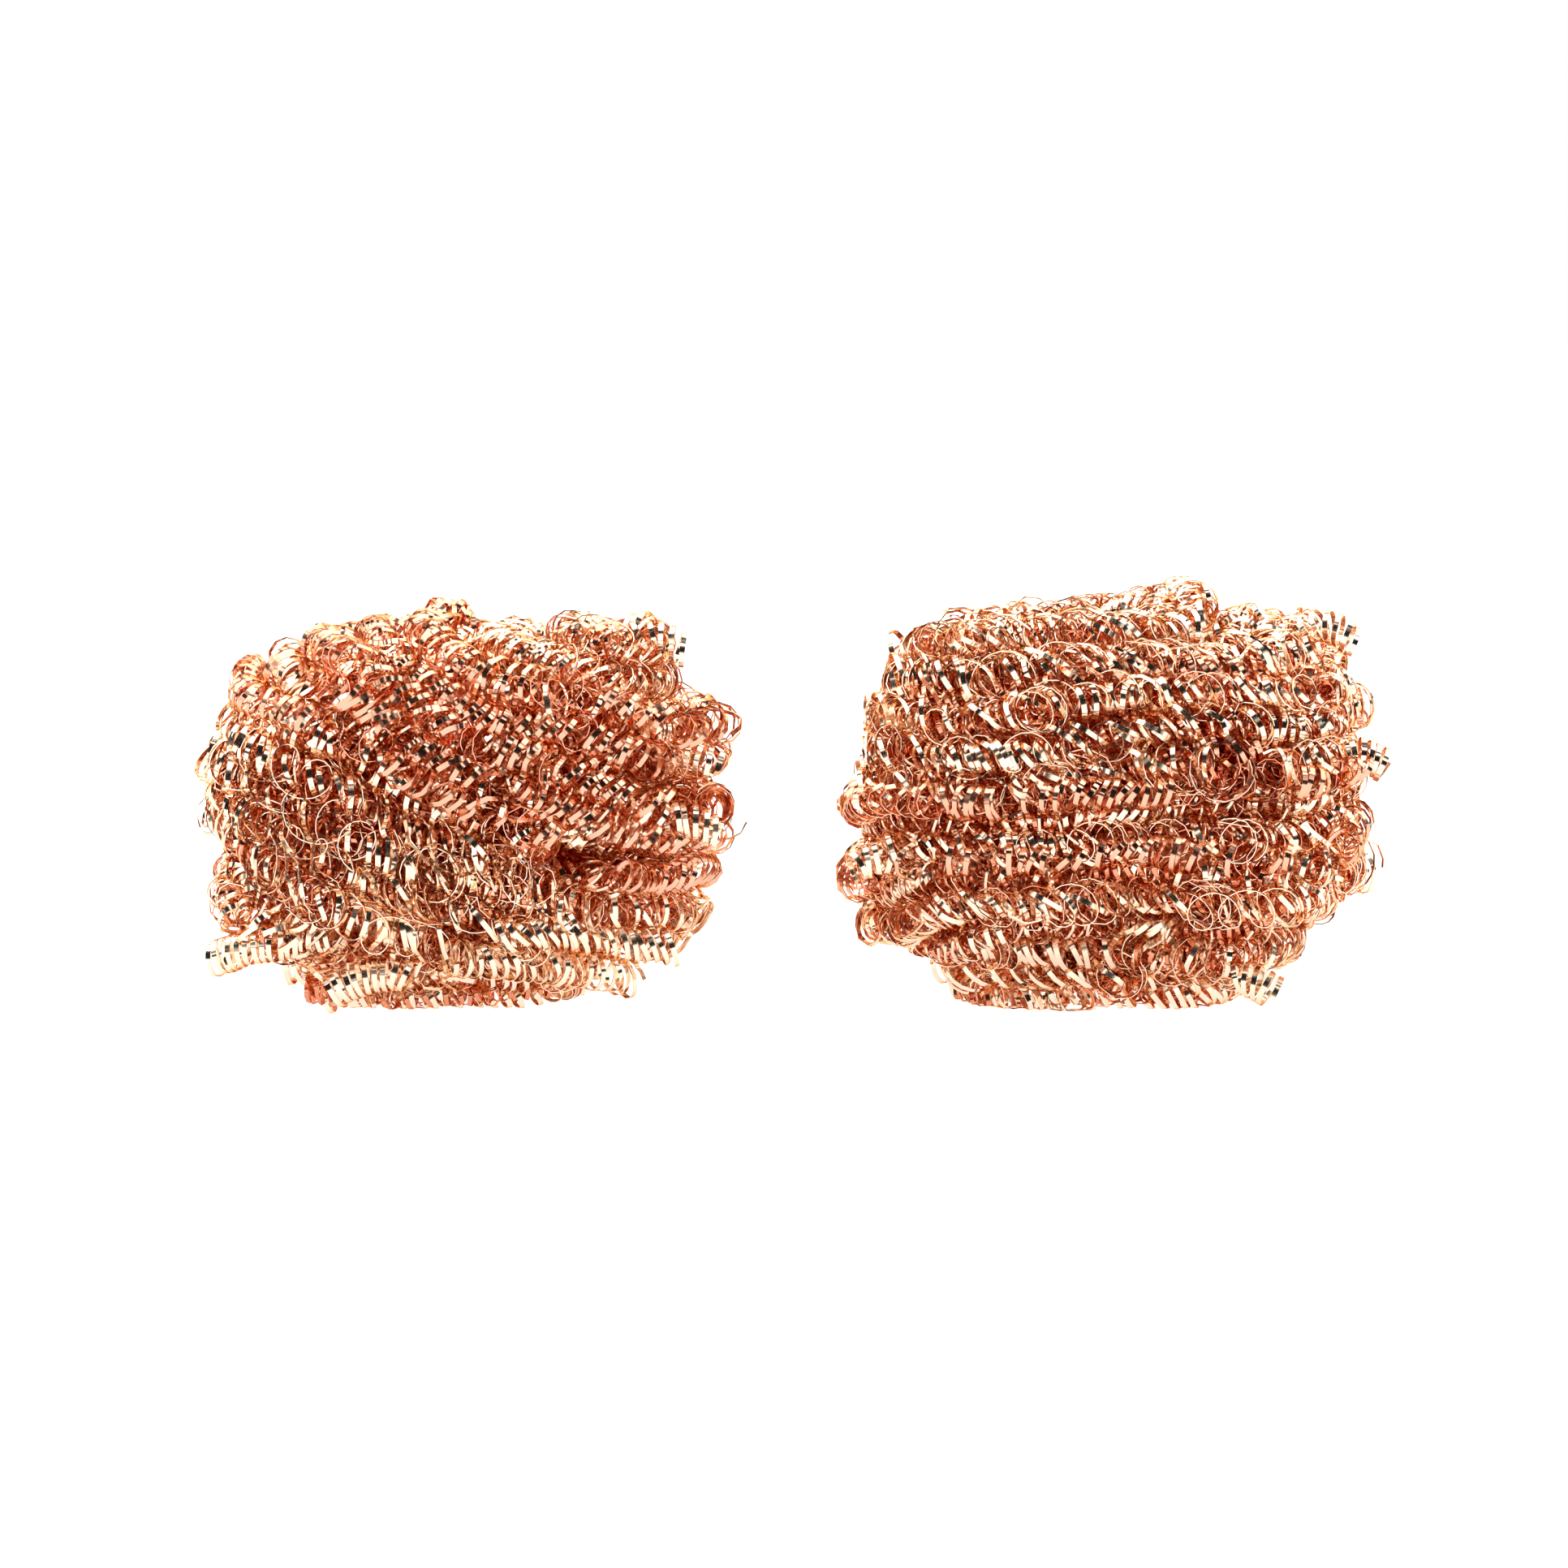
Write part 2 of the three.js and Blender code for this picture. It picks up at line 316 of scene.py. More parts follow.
@dataclass
class Centreline:
    """The middle line of a strand, with a frame that turns with it.

    Args:
        points: Places along the line, evenly spaced.
        axis: The direction that the pad is wound about.
    """

    points: np.ndarray
    axis: np.ndarray

    def __post_init__(self) -> None:
        """Work out the distance along the line and the frame at each place."""
        steps = np.linalg.norm(np.diff(self.points, axis=0), axis=1)
        self.along = np.concatenate([[0.0], np.cumsum(steps)])
        self.forward = unit(np.gradient(self.points, axis=0))
        up = self.axis - (self.forward @ self.axis)[:, None] * self.forward
        self.up = unit(up)
        self.out = np.cross(self.forward, self.up)

    @classmethod
    def through(cls, corners: np.ndarray, axis: np.ndarray, step: float, past: float = 0.0) -> "Centreline":
        """Round off a coarse line and space its points evenly.

        Args:
            corners: The coarse line's points.
            axis: The direction that the pad is wound about.
            step: The spacing of the points wanted.
            past: How far to carry the line on past both its ends.

        Returns:
            The smooth line.
        """
        if past > 0.0:
            tails = unit(corners[[0, -1]] - corners[[1, -2]]) * past
            corners = np.vstack([corners[:1] + tails[:1], corners, corners[-1:] + tails[1:]])
        first = 2 * corners[0] - corners[1]
        last = 2 * corners[-1] - corners[-2]
        knots = np.vstack([first, corners, last])
        t = np.linspace(0.0, 1.0, CURVE_STEPS, endpoint=False)[:, None]
        spans = []
        for a, b, c, d in zip(knots, knots[1:], knots[2:], knots[3:]):
            cubic = (3 * b - a - 3 * c + d) * t**3 + (2 * a - 5 * b + 4 * c - d) * t**2
            spans.append(0.5 * (cubic + (c - a) * t + 2 * b))
        dense = np.vstack([*spans, corners[-1:]])
        reach = np.concatenate([[0.0], np.cumsum(np.linalg.norm(np.diff(dense, axis=0), axis=1))])
        wanted = np.linspace(0.0, reach[-1], max(FEWEST_POINTS, int(reach[-1] / step)))
        even = np.stack([np.interp(wanted, reach, dense[:, k]) for k in range(3)], axis=1)
        return cls(even, axis)

    def at(self, values: np.ndarray, place: np.ndarray) -> np.ndarray:
        """Read a value that is kept along the line at other places on it."""
        return np.stack([np.interp(place, self.along, values[:, k]) for k in range(3)], axis=1)


def cap_corners(shell: bmesh.types.BMesh) -> list[bmesh.types.BMVert]:
    """Find the corners of the flat cap on one end of a tube.

    Args:
        shell: The tube, with its loose triangles joined up.

    Returns:
        The corners of its most compact flat part that has one for each of the tube's sides.
    """
    best: list[bmesh.types.BMVert] = []
    least = math.inf
    seen: set[bmesh.types.BMFace] = set()
    for first in shell.faces:
        if first in seen:
            continue
        flat = [first]
        seen.add(first)
        for face in flat:
            for other in (f for edge in face.edges for f in edge.link_faces):
                if other not in seen and other.normal.angle(first.normal) < SAME_FLAT:
                    seen.add(other)
                    flat.append(other)
        corners = list({v for face in flat for v in face.verts})
        if len(corners) == TUBE_SIDES:
            spread = max((a.co - b.co).length for a in corners for b in corners)
            if spread < least:
                best, least = corners, spread
    return best


def tube_middle(node: bpy.types.Object) -> np.ndarray:
    """Find the middle line of a packed tube, from its rings of corners.

    Args:
        node: A packed strand: a tube with a flat many-sided cap on each end.

    Returns:
        The middle of each ring of corners, from one end of the tube to the other.
    """
    shell = bmesh.new()
    shell.from_mesh(node.data)
    bmesh.ops.remove_doubles(shell, verts=shell.verts[:], dist=SAME_CORNER)
    shell.verts.ensure_lookup_table()
    shell.normal_update()
    ring = cap_corners(shell)
    seen = set(ring)
    middles = []
    while ring:
        middles.append(sum((v.co for v in ring), Vector()) / len(ring))
        near = {e.other_vert(v) for v in ring for e in v.link_edges} - seen
        ring = list(near)
        seen |= near
    shell.free()
    return np.array([tuple(m) for m in middles])


@dataclass(frozen=True)
class Spring:
    """How one ribbon is curled. Lengths are in metres.

    Args:
        radius: The curls' radius.
        pitch: How far the ribbon moves on in one turn.
        width: The ribbon's width.
        thickness: The ribbon's thickness.
        lean: How far each turn leans back along the strand, in degrees.
        flats: Straight pieces in one turn.
        unevenness: How much the radius, pitch and lean change, as a share.
        wander: How far the spring strays from the middle of its strand.
        outwards: A lasting offset from the strand's middle, away from the pad's.
        upwards: A lasting offset from the strand's middle, along the pad's winding axis.
        flops: Turns from one curl that has flopped over, to face outwards, to the next.
        pulled: How hard the ribbon is pulled straight here and there.
        depth: How far in the pad the ribbon lies, from 0 at its face to 1 at its middle; it sets how much
            painted shade, a darker orange, the ribbon gets.
    """

    radius: float = 2.2 * MM
    pitch: float = 1.3 * MM
    width: float = 0.6 * MM
    thickness: float = 0.1 * MM
    lean: float = 24.0
    flats: int = 16
    unevenness: float = 1.0
    wander: float = 0.3 * MM
    outwards: float = 0.0
    upwards: float = 0.0
    flops: float = 9.0
    pulled: float = 1.2
    depth: float = 0.0

    def turns(self, line: Centreline, rng: np.random.Generator) -> np.ndarray:
        """Lay out how the turns are spread along the line.

        Args:
            line: The strand's middle line.
            rng: The spring's own random numbers.

        Returns:
            The place along the line of each corner of the curled ribbon.
        """
        along = line.along
        loose = drifts(rng, along, SPACING_CHANGES)
        pulled = self.pulled * bursts(rng, along, PULLED_APART, PULLED_REACH)
        pitch = self.pitch * np.exp(self.unevenness * (loose + pulled))
        count = np.concatenate([[0.0], np.cumsum(np.diff(along) / pitch[:-1])])
        corners = np.arange(0.0, count[-1], 1.0 / self.flats)
        return np.interp(corners, count, along)

    def strip(self, line: Centreline, rng: np.random.Generator) -> tuple[np.ndarray, np.ndarray]:
        """Curl the ribbon along the line.

        Args:
            line: The strand's middle line.
            rng: The spring's own random numbers.

        Returns:
            The two edges of the flat ribbon, as points in step with one another.
        """
        place = self.turns(line, rng)
        turn = np.arange(len(place), dtype=float) / self.flats
        rough = self.unevenness
        forward = unit(line.at(line.forward, place))
        up = unit(line.at(line.up, place))
        out = unit(line.at(line.out, place))

        flopped = bursts(rng, turn, self.flops, FLOP_REACH, FLOP_STEEPNESS)
        side = np.sign(drift(rng, turn, FLOP_SIDES))
        size = 1.0 + rough * drifts(rng, turn, SIZE_CHANGES)
        swollen = bursts(rng, turn, SWELL_APART, SWELL_REACH)
        radius = self.radius * (size + rough * (SWELL_GROWTH * swollen + FLOP_GROWTH * flopped))
        outwards = self.outwards + self.wander * drifts(rng, turn, STRAYING)
        outwards = outwards + rough * FLOP_OUTWARDS * MM * flopped
        upwards = self.upwards + self.wander * drifts(rng, turn, STRAYING)
        centre = line.at(line.points, place) + outwards[:, None] * out + upwards[:, None] * up

        angle = -TURN * (turn + PHASE_CHANGE * rough * drift(rng, turn, PHASE_SPACING)) + rng.uniform(0, TURN)
        lean = np.radians(self.lean + rough * drifts(rng, turn, LEAN_CHANGES))
        yaw = np.radians(rough * drifts(rng, turn, YAW_CHANGES) * (1 - flopped))
        yaw = yaw + np.radians(FLOP_YAW) * flopped * side
        across_out = np.cos(yaw)[:, None] * out + np.sin(yaw)[:, None] * forward
        across_up = np.cos(lean)[:, None] * up - np.sin(lean)[:, None] * forward
        spoke = unit(np.cos(angle)[:, None] * across_out + np.sin(angle)[:, None] * across_up)
        path = centre + radius[:, None] * spoke

        heading = unit(np.gradient(path, axis=0))
        across = unit(np.cross(heading, spoke))
        face = np.cross(across, heading)
        twist = np.radians(rough * drifts(rng, turn, TWIST_CHANGES) * (1 - FLOP_STIFFNESS * flopped))
        across = np.cos(twist)[:, None] * across + np.sin(twist)[:, None] * face
        half = 0.5 * self.width * across
        return path - half, path + half


def ribbon_mesh(
    name: str, edges: list[tuple[np.ndarray, np.ndarray]], springs: list[Spring]
) -> bpy.types.Object:
    """Make one piece from flat ribbons, and give them their thickness.

    Args:
        name: The piece's name.
        edges: The two edges of each ribbon.
        springs: How each ribbon is curled.

    Returns:
        The finished piece, closed and smooth along its curls.
    """
    corners, faces, first = [], [], 0
    for low, high in edges:
        count = len(low)
        corners.append(np.stack([low, high], axis=1).reshape(-1, 3))
        start = first + 2 * np.arange(count - 1)
        faces.append(np.stack([start, start + 2, start + 3, start + 1], axis=1))
        first += 2 * count
    mesh = bpy.data.meshes.new(name)
    mesh.from_pydata(np.vstack(corners).tolist(), [], np.vstack(faces).tolist())
    # Painted shade: each ribbon's corners carry how far in the pad it lies, which the finish turns into a
    # darker orange.
    shade_depths = [np.full(len(some), spring.depth) for some, spring in zip(corners, springs)]
    mesh.attributes.new("depth", "FLOAT", "POINT").data.foreach_set("value", np.concatenate(shade_depths))
    piece = bpy.data.objects.new(name, mesh)
    bpy.context.scene.collection.objects.link(piece)
    make_active(piece)
    shell = piece.modifiers.new("ribbon_thickness", "SOLIDIFY")
    shell.thickness = springs[0].thickness
    shell.offset = 0.0
    bpy.ops.object.modifier_apply(modifier=shell.name)
    bpy.ops.object.shade_smooth_by_angle(angle=SMOOTH_BELOW)
    return piece


# ---------------------------------------------------------------------------------------------
# Finishes
# ---------------------------------------------------------------------------------------------


@dataclass(frozen=True)
class BrightCopperRibbon:
    """Copper-coloured ribbon, rolled flat and almost mirror bright.

    Each curl shows a hard highlight beside a dark one, and light that passes from curl to curl turns
    a strong orange. Ribbon further in the pad is also painted towards a dark orange, as painted shade.

    Args:
        bright: The colour of its palest patches.
        warm: The colour of its warmest patches.
        painted_shade: The colour of the painted shade, the dark orange that ribbon is painted towards the
            further in the pad it lies.
        glancing: The tint of light that glances off it.
        patch: The size of the patches, in millimetres.
        gloss: The roughness of the most and of the least polished patches.
        name: The material's name.
    """

    bright: str = "#FDEBD8"
    warm: str = "#FCDCBA"
    painted_shade: str = "#D85C0C"
    glancing: str = "#FFC58C"
    patch: float = 6.0
    gloss: tuple[float, float] = (0.10, 0.2)
    name: str = "bright_copper_ribbon"

    def material(self) -> bpy.types.Material:
        """Build the finish's material."""
        made = bpy.data.materials.new(self.name)
        made.use_nodes = True
        tree = made.node_tree
        shader = tree.nodes["Principled BSDF"]
        place = add_node(tree, "ShaderNodeTexCoord")
        patches = add_node(
            tree,
            "ShaderNodeTexNoise",
            inputs={"Vector": place.outputs["Object"], "Scale": 1000.0 / self.patch, "Detail": 2.0},
        )
        colour = add_node(
            tree,
            "ShaderNodeMix",
            {"data_type": "RGBA"},
            {0: patches.outputs["Fac"], 6: linear(self.bright), 7: linear(self.warm)},
        )
        # Painted shade: the colour is mixed towards a dark orange by how far in the pad the ribbon lies,
        # standing in for light lost between the curls.
        depth = add_node(tree, "ShaderNodeAttribute", {"attribute_name": "depth"})
        with_painted_shade = add_node(
            tree,
            "ShaderNodeMix",
            {"data_type": "RGBA"},
            {0: depth.outputs["Fac"], 6: colour.outputs[2], 7: linear(self.painted_shade)},
        )
        tree.links.new(with_painted_shade.outputs[2], shader.inputs["Base Color"])
        roughness = add_ramp(tree, patches.outputs["Fac"], (0.3, 0.7), self.gloss)
        tree.links.new(roughness, shader.inputs["Roughness"])
        shader.inputs["Metallic"].default_value = 1.0
        shader.inputs["Specular Tint"].default_value = linear(self.glancing)
        return made


# ---------------------------------------------------------------------------------------------
# The pads
# ---------------------------------------------------------------------------------------------


class StrandRole(Enum):
    """What a strand does in its pad, by the word in its node's name."""

    ROW = "_strand_"
    END = "_end_strand_"
    INNER = "_inner_strand_"
    CORE = "_core_strand_"
    BASE = "_base_strand"

    @classmethod
    def of(cls, node: str) -> "StrandRole":
        """Tell a strand's role from its node's name."""
        for role in (cls.END, cls.INNER, cls.CORE, cls.BASE):
            if role.value in node:
                return role
        return cls.ROW


def bundle(springs: int, reach: float, spring: Spring) -> tuple[Spring, ...]:
    """Lay several like springs side by side round the middle of a thick strand.

    Args:
        springs: How many to lay.
        reach: How far from the strand's middle they lie.
        spring: The spring to repeat.

    Returns:
        The springs, evenly spread round the middle.
    """
    turns = [BUNDLE_START + TURN * i / springs for i in range(springs)]
    return tuple(
        replace(spring, outwards=reach * math.cos(turn), upwards=reach * math.sin(turn)) for turn in turns
    )


# Each spring's value for how far in the pad it lies sets only how much painted shade, a darker orange, its
# ribbon gets.
FRONT = Spring(unevenness=1.25, outwards=0.3 * MM, pulled=1.45)
BEHIND = Spring(flats=11, outwards=-2.7 * MM, upwards=1.95 * MM, depth=0.5)
WITHIN = Spring(
    radius=1.3 * MM, pitch=1.6 * MM, flats=9, lean=8.0, wander=0.6 * MM, width=0.5 * MM, depth=0.72
)
FLAT = Spring(radius=1.75 * MM, wander=0.5 * MM, flops=7.0)
SKIRT = replace(FRONT, outwards=1.4 * MM, upwards=2.6 * MM)
HEM = replace(FRONT, outwards=3.2 * MM, upwards=5.6 * MM, depth=0.2)
PACKING = replace(BEHIND, outwards=-0.6 * MM, upwards=4.4 * MM)
PADDING = replace(BEHIND, outwards=0.6 * MM, upwards=7.6 * MM)
STRAY = Spring(
    radius=2.1 * MM,
    pitch=3.8 * MM,
    width=0.55 * MM,
    flats=20,
    wander=0.9 * MM,
    outwards=0.5 * MM,
    flops=3.0,
    pulled=0.3,
)
FINE = Spring(
    radius=2.35 * MM,
    pitch=1.4 * MM,
    width=0.3 * MM,
    flats=14,
    unevenness=1.15,
    wander=0.6 * MM,
    flops=4.0,
    pulled=0.4,
    depth=0.25,
)
STUFFING = Spring(radius=2.3 * MM, pitch=1.6 * MM, flats=9, wander=0.7 * MM, depth=0.85)
TIGHT = Spring(
    radius=1.95 * MM,
    pitch=1.05 * MM,
    lean=10.0,
    unevenness=0.5,
    wander=0.15 * MM,
    flops=1000.0,
    pulled=0.0,
)
LOOSENED = replace(FRONT, unevenness=0.8, flops=1000.0, pulled=0.0)

SPRINGS = {
    StrandRole.ROW: (FRONT, BEHIND, WITHIN, STRAY, FINE),
    StrandRole.END: (FRONT, WITHIN, STRAY, FINE),
    StrandRole.BASE: (FLAT, SKIRT, HEM, PACKING, PADDING, WITHIN),
    StrandRole.INNER: bundle(4, 2.0 * MM, STUFFING),
    StrandRole.CORE: bundle(4, 2.2 * MM, STUFFING),
}


@dataclass(frozen=True)
class LooseEnd:
    """A strand's free end: a spring that is still tight, and stands out of the pad.

    Args:
        strand: The end of the name of the strand that it belongs to.
        root: Where it leaves the pad, in millimetres from the pad's middle, on the bench.
        tip: Where it ends, measured likewise.
        arch: How far its middle bows upwards, in millimetres.
        loosened: Whether its curls have been pulled about like the rest of the strand's.
    """

    strand: str
    root: tuple[float, float, float]
    tip: tuple[float, float, float]
    arch: float = 0.6
    loosened: bool = False

    def line(self, middle: float) -> Centreline:
        """Work out its middle line.

        Args:
            middle: Where the pad's middle lies along X, in metres.

        Returns:
            The line, from root to tip.
        """
        share = np.linspace(0.0, 1.0, FREE_END_CORNERS)[:, None]
        points = np.array(self.root) * (1.0 - share) + np.array(self.tip) * share
        points[:, 2] += 4.0 * self.arch * (share * (1.0 - share))[:, 0]
        place = points * MM + np.array([middle, 0.0, 0.0])
        return Centreline.through(place, np.array(FREE_END_AXIS), FREE_END_STEP)


@dataclass
class Pad:
    """One pad of curled ribbon.

    Args:
        body: The body that the pad rides on.
        winding_tilt: How far the pad's winding axis leans to the right, in degrees.
        seed: Where the pad's random numbers start.
        heave: How far whole rows are pushed along the winding axis by their neighbours.
        dent: How far they are pushed in and out.
        gather: The share of its packed width that the pad's middle lines are gathered to.
        slant: How much higher the pad's top stands for each step to the right.
        unlike: How far one row stands out from the next.
        pressed: How far the pad's upper left corner is pressed down.
        crown: How far the middle of the pad's top stands up.
        loose_ends: The strands' ends that stand out of the pad.
        middle: Where the pad's middle lies along X, read from its nodes.
        height: How tall the pad stands, read from its nodes.
        pieces: The pieces that have been built.
    """

    body: str
    winding_tilt: float
    seed: int
    heave: float = 0.65 * MM
    dent: float = 0.4 * MM
    gather: float = 0.925
    slant: float = 0.0
    unlike: float = 0.6 * MM
    pressed: float = 0.0
    crown: float = 0.0
    loose_ends: tuple[LooseEnd, ...] = ()
    middle: float = 0.0
    height: float = 0.05
    pieces: list[bpy.types.Object] = field(default_factory=list)

    def __post_init__(self) -> None:
        """Set the winding axis and the slow waves that push the rows about."""
        tilt = math.radians(self.winding_tilt)
        self.axis = np.array([math.sin(tilt), 0.0, math.cos(tilt)])
        rng = np.random.default_rng(self.seed)
        headings = unit(rng.normal(size=(WAVES, 3)))
        self.wave_numbers = headings * (TURN / rng.uniform(*WAVE_LENGTHS, size=(WAVES, 1)) / MM)
        self.wave_starts = rng.uniform(0, TURN, size=WAVES)
        heaves = rng.normal(size=(WAVES, 1)) * self.axis * self.heave
        self.wave_pushes = (rng.normal(size=(WAVES, 3)) * self.dent + heaves) * WAVE_SHARE

    def heaved(self, points: np.ndarray, share: float) -> np.ndarray:
        """Gather points in towards the pad's middle, and push them about with their neighbours.

        Args:
            points: Places in the pad.
            share: How much of the push to give them.

        Returns:
            The pushed places.
        """
        waves = np.sin(points @ self.wave_numbers.T + self.wave_starts)
        gathered = points * self.gather + np.array([self.middle * (1.0 - self.gather), 0.0, 0.0])
        rightwards = points[:, 0] - self.middle
        raised = points[:, 2] / self.height
        gathered[:, 2] += self.slant * rightwards * raised
        leftmost = np.clip(-rightwards / CORNER_START - 1.0, 0.0, CORNER_GROWTH)
        uppermost = np.clip(2.0 * raised - 1.0, 0.0, 1.0)
        gathered[:, 2] -= self.pressed * (leftmost * uppermost)
        gathered[:, 2] += self.crown * np.exp(-((rightwards / CROWN_REACH) ** 2)) * raised**2
        return gathered + share * (waves @ self.wave_pushes)

    def strand(self, node: bpy.types.Object, number: int) -> bpy.types.Object:
        """Build one strand's springs along its packed tube.

        Args:
            node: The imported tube.
            number: The strand's number in its pad.

        Returns:
            The finished piece.
        """
        role = StrandRole.of(node.name)
        rng = np.random.default_rng([self.seed, number])
        axis = np.array([0.0, 0.0, 1.0]) if role is StrandRole.BASE else self.axis
        past = ROW_PAST if role is StrandRole.ROW else 0.0
        line = Centreline.through(tube_middle(node), axis, STRAND_STEP, past)
        share = BASE_PUSH if role is StrandRole.BASE else 1.0
        pushed = self.heaved(line.points, share)
        if role is StrandRole.ROW or role is StrandRole.END:
            rise = ROW_RISE * drift(rng, line.along, ROW_DRIFT)
            apart = rng.uniform(-self.unlike, self.unlike)
            sway = apart + ROW_SWAY * drift(rng, line.along, ROW_DRIFT)
            pushed = pushed + rise[:, None] * line.up + sway[:, None] * line.out
        line = Centreline(pushed, axis)
        fullness = rng.uniform(*FULLNESS)
        springs = [replace(spring, radius=fullness * spring.radius) for spring in SPRINGS[role]]
        edges = [spring.strip(line, rng) for spring in springs]
        for end in self.loose_ends:
            if node.name.endswith(end.strand):
                springs.append(LOOSENED if end.loosened else TIGHT)
                edges.append(springs[-1].strip(end.line(self.middle), rng))
        for low, high in edges:
            low[:, 2] = np.maximum(low[:, 2], BENCH_GAP)
            high[:, 2] = np.maximum(high[:, 2], BENCH_GAP)
        return ribbon_mesh(f"{node.name}_ribbon", edges, springs)

    def build(self, nodes: dict[str, bpy.types.Object], finish: bpy.types.Material) -> None:
        """Build and dress all the pad's strands.

        Args:
            nodes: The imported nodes.
            finish: The ribbon's material.
        """
        own = sorted(name for name in nodes if name.startswith(self.body))
        corners = [v.co for name in own for v in nodes[name].data.vertices]
        self.middle = 0.5 * (min(c.x for c in corners) + max(c.x for c in corners))
        self.height = max(c.z for c in corners)
        for number, name in enumerate(own):
            piece = self.strand(nodes[name], number)
            piece.data.materials.append(finish)
            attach(piece, self.body)
            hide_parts(name)
            self.pieces.append(piece)


# ---------------------------------------------------------------------------------------------
# The studio
# ---------------------------------------------------------------------------------------------


@dataclass
class Studio:
    """The floor, the light and the camera.

    Args:
        middle: The place that the camera looks at.
        field_width: How much the camera takes in at that place.
        distance: How far away the camera stands.
        elevation: How far above the level the camera stands, in degrees.
        brightness: How bright the surround is at the horizon and high up.
        darkness: How bright the dark things round the camera are.
        screening: How much more likely the dark things are behind the camera.
    """

    middle: Vector
    field_width: float = 180.6 * MM
    distance: float = 0.8
    elevation: float = 5.0
    brightness: tuple[float, float] = (1.46, 3.0)
    darkness: float = 0.01
    screening: float = 0.2

    def floor(self) -> None:
        """Lay a plain pale floor under the pads."""
        deselect_all()
        bpy.ops.mesh.primitive_plane_add(size=6.0, location=(0.0, 0.0, 0.0))
        floor = bpy.context.active_object
        floor.name = "floor"
        paint = bpy.data.materials.new("matt_white_board")
        paint.use_nodes = True
        shader = paint.node_tree.nodes["Principled BSDF"]
        shader.inputs["Base Color"].default_value = linear("#A0A0A0")
        shader.inputs["Roughness"].default_value = 0.9
        shader.inputs["Emission Color"].default_value = (1.0, 1.0, 1.0, 1.0)
        shader.inputs["Emission Strength"].default_value = 0.97
        floor.data.materials.append(paint)
        floor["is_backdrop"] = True

    def sky(self) -> None:
        """Surround the set with white, and stand dark things round the camera for the ribbon to mirror."""
        world = bpy.data.worlds.new("studio")
        bpy.context.scene.world = world
        world.use_nodes = True
        tree = world.node_tree
        tree.nodes.clear()
        place = add_node(tree, "ShaderNodeTexCoord")
        split = add_node(tree, "ShaderNodeSeparateXYZ", inputs={0: place.outputs["Generated"]})
        wall = add_ramp(tree, split.outputs["Y"], (-0.3, -0.36), kind="SMOOTHSTEP")
        height = add_ramp(tree, split.outputs["Z"], (0.88, 0.84), kind="SMOOTHSTEP")
        clutter = add_node(
            tree,
            "ShaderNodeTexNoise",
            inputs={"Vector": place.outputs["Generated"], "Scale": 2.6, "Detail": 0.0},
        )
        screens = add_node(tree, "ShaderNodeMath", {"operation": "MULTIPLY"}, {0: wall, 1: height})
        likely = add_node(
            tree,
            "ShaderNodeMath",
            {"operation": "MULTIPLY_ADD"},
            {0: screens.outputs[0], 1: self.screening, 2: clutter.outputs["Fac"]},
        )
        dark = add_ramp(tree, likely.outputs[0], (0.59, 0.61))
        bright = add_ramp(tree, split.outputs["Z"], (0.0, 0.9), self.brightness)
        level = add_node(
            tree, "ShaderNodeMix", {"data_type": "FLOAT"}, {0: dark, 2: bright, 3: self.darkness}
        )
        light = add_node(tree, "ShaderNodeBackground", inputs={"Strength": level.outputs[0]})
        seen = add_node(tree, "ShaderNodeBackground", inputs={"Strength": 1.0})
        for node in (light, seen):
            node.inputs["Color"].default_value = (1.0, 1.0, 1.0, 1.0)
        path = add_node(tree, "ShaderNodeLightPath")
        mix = add_node(
            tree,
            "ShaderNodeMixShader",
            inputs={0: path.outputs["Is Camera Ray"], 1: light.outputs[0], 2: seen.outputs[0]},
        )
        add_node(tree, "ShaderNodeOutputWorld", inputs={"Surface": mix.outputs[0]})

    def camera(self) -> None:
        """Set up the camera, nearly level and straight in front."""
        data = bpy.data.cameras.new("camera")
        data.sensor_width = SENSOR_WIDTH
        data.lens = SENSOR_WIDTH * self.distance / self.field_width
        data.clip_start = 0.05
        data.clip_end = 20.0
        camera = bpy.data.objects.new("camera", data)
        bpy.context.scene.collection.objects.link(camera)
        tilt = math.radians(self.elevation)
        away = Vector((0.0, -math.cos(tilt), math.sin(tilt)))
        camera.location = self.middle + away * self.distance
        camera.rotation_euler = away.to_track_quat("Z", "Y").to_euler()
        bpy.context.scene.camera = camera

    def build(self) -> None:
        """Set the whole studio up."""
        self.floor()
        self.sky()
        self.camera()
        bpy.context.scene.view_settings.view_transform = "Standard"
        bpy.context.scene.cycles.glossy_bounces = 8


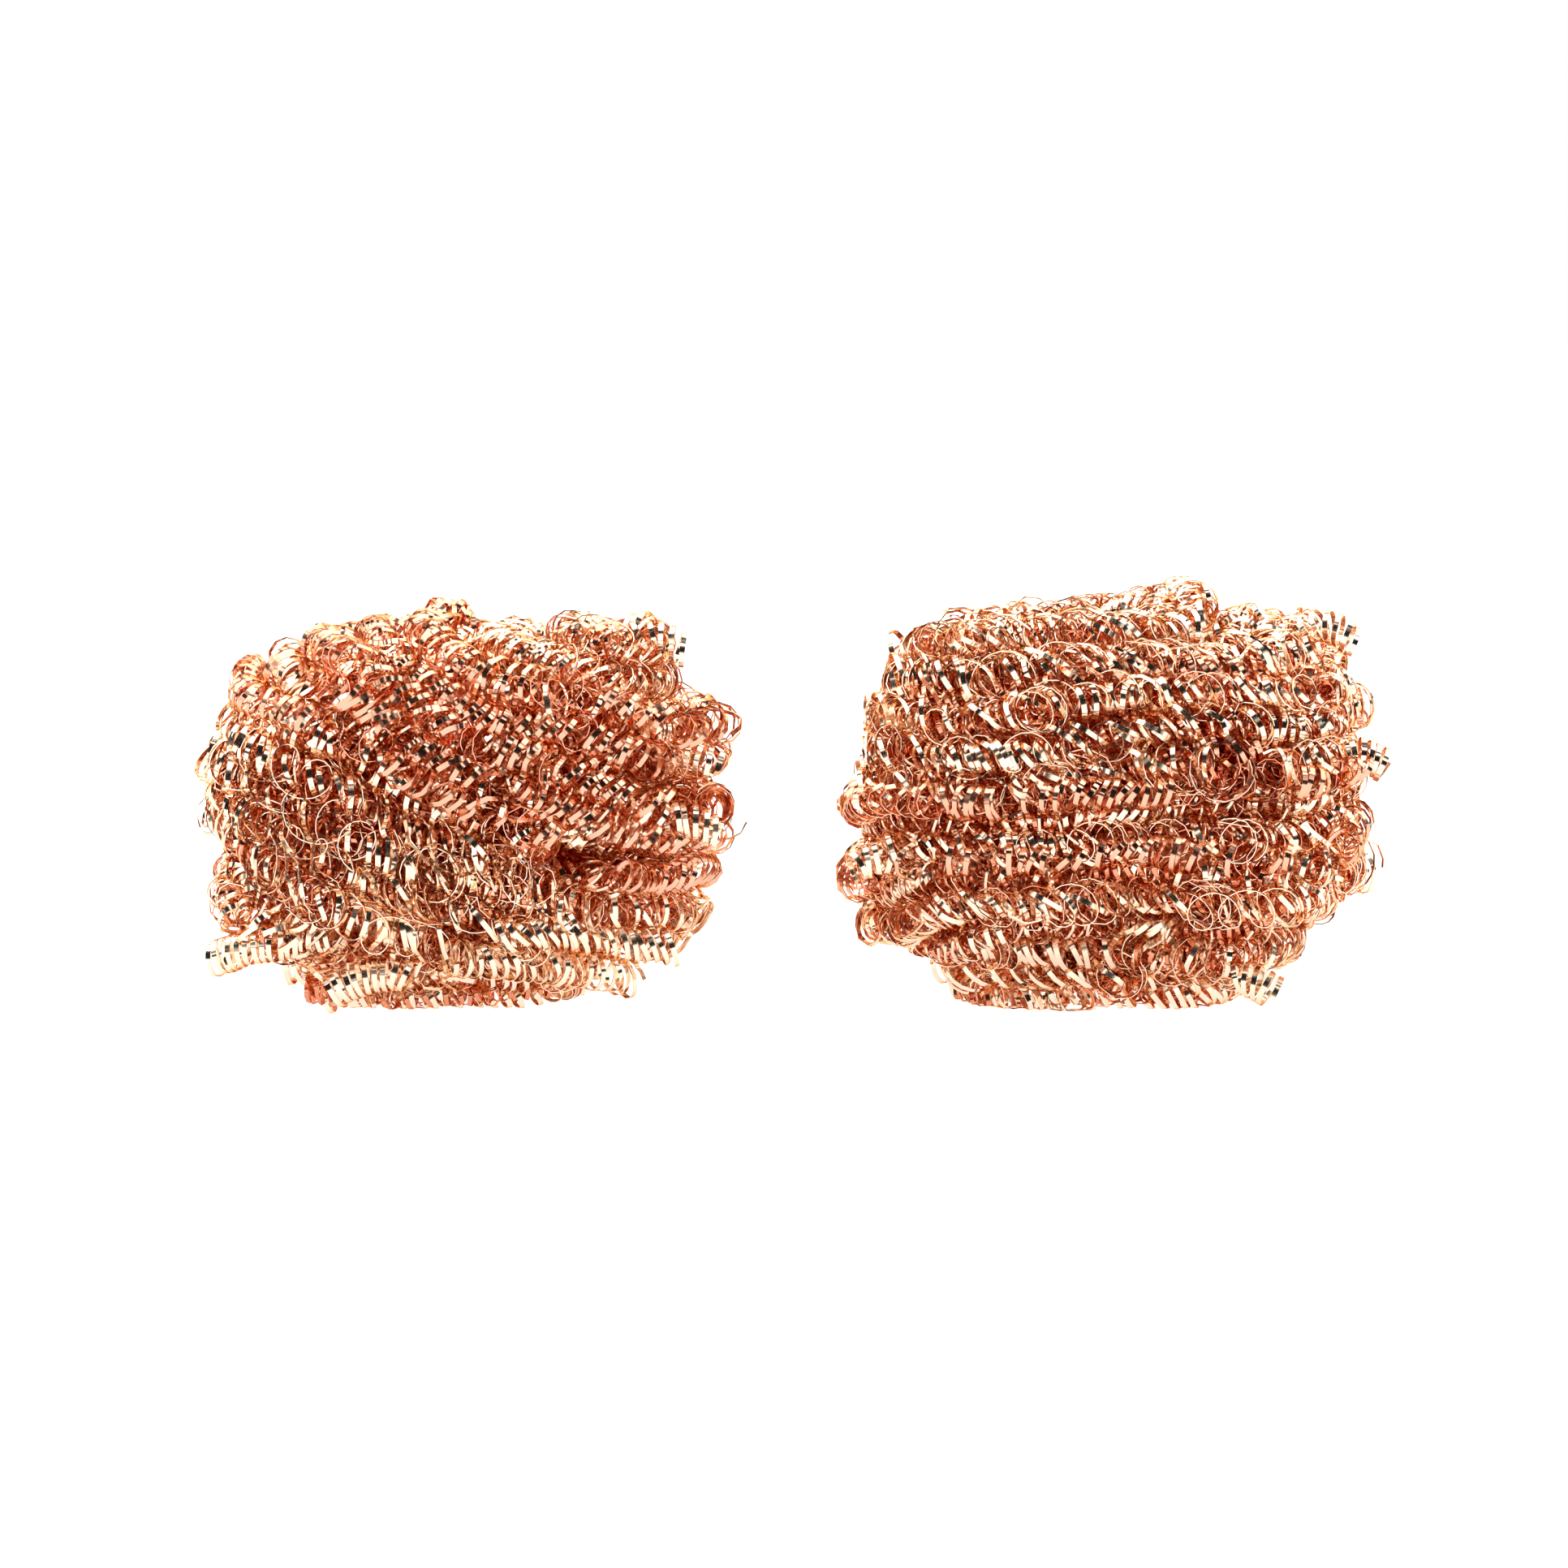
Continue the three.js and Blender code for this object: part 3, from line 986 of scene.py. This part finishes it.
def main() -> None:
    """Build the pads over the frame, then the studio, and note the sizes."""
    logging.basicConfig(level=logging.INFO, format="%(message)s")
    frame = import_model()
    cad_low, cad_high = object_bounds()
    finish = BrightCopperRibbon().material()
    left_ends = (
        LooseEnd("base_strand", (-13.0, -16.0, 8.8), (-27.0, -15.5, 6.2)),
        LooseEnd("end_strand_01", (-4.0, -17.5, 4.5), (-14.0, -17.0, 2.3), arch=1.2),
        LooseEnd("end_strand_02", (0.0, -18.5, 7.0), (20.5, -14.5, 3.6), arch=0.5, loosened=True),
        LooseEnd("strand_03", (6.0, -20.5, 9.5), (25.0, -13.5, 7.5), arch=0.5, loosened=True),
        LooseEnd("end_strand_13", (19.0, -8.0, 41.0), (26.5, -9.5, 40.6), arch=1.5),
        LooseEnd("strand_06", (24.5, -14.0, 22.0), (30.5, -13.0, 20.0)),
        LooseEnd("strand_09", (24.5, -12.0, 29.0), (30.3, -12.0, 27.5)),
    )
    right_ends = (
        LooseEnd("end_strand_01", (13.0, -16.0, 4.0), (17.5, -18.0, 2.4)),
        LooseEnd("end_strand_11", (22.0, -7.0, 43.0), (27.0, -8.5, 41.6), arch=1.0),
        LooseEnd("strand_05", (-25.0, -12.0, 17.5), (-30.0, -12.5, 16.2)),
        LooseEnd("strand_07", (25.5, -12.0, 29.0), (30.6, -12.5, 28.0)),
    )
    pads = [
        Pad(
            "left_pad",
            winding_tilt=29.0,
            seed=11,
            slant=0.12,
            pressed=3.5 * MM,
            crown=-2.0 * MM,
            loose_ends=left_ends,
        ),
        Pad(
            "right_pad",
            winding_tilt=-4.0,
            seed=23,
            slant=0.03,
            crown=2.5 * MM,
            loose_ends=right_ends,
        ),
    ]
    total = 0
    for pad in pads:
        pad.build(frame["nodes"], finish)
        for piece in pad.pieces:
            piece.data.calc_loop_triangles()
            count = len(piece.data.loop_triangles)
            total += count
            LOG.info("%s: %d triangles", piece.name, count)
    LOG.info("all pieces: %d triangles", total)
    middle = Vector((0.0, 0.0, 0.5 * (cad_low[2] + cad_high[2]) + LOOK_ABOVE))
    Studio(middle).build()


if __name__ == "__main__":
    main()
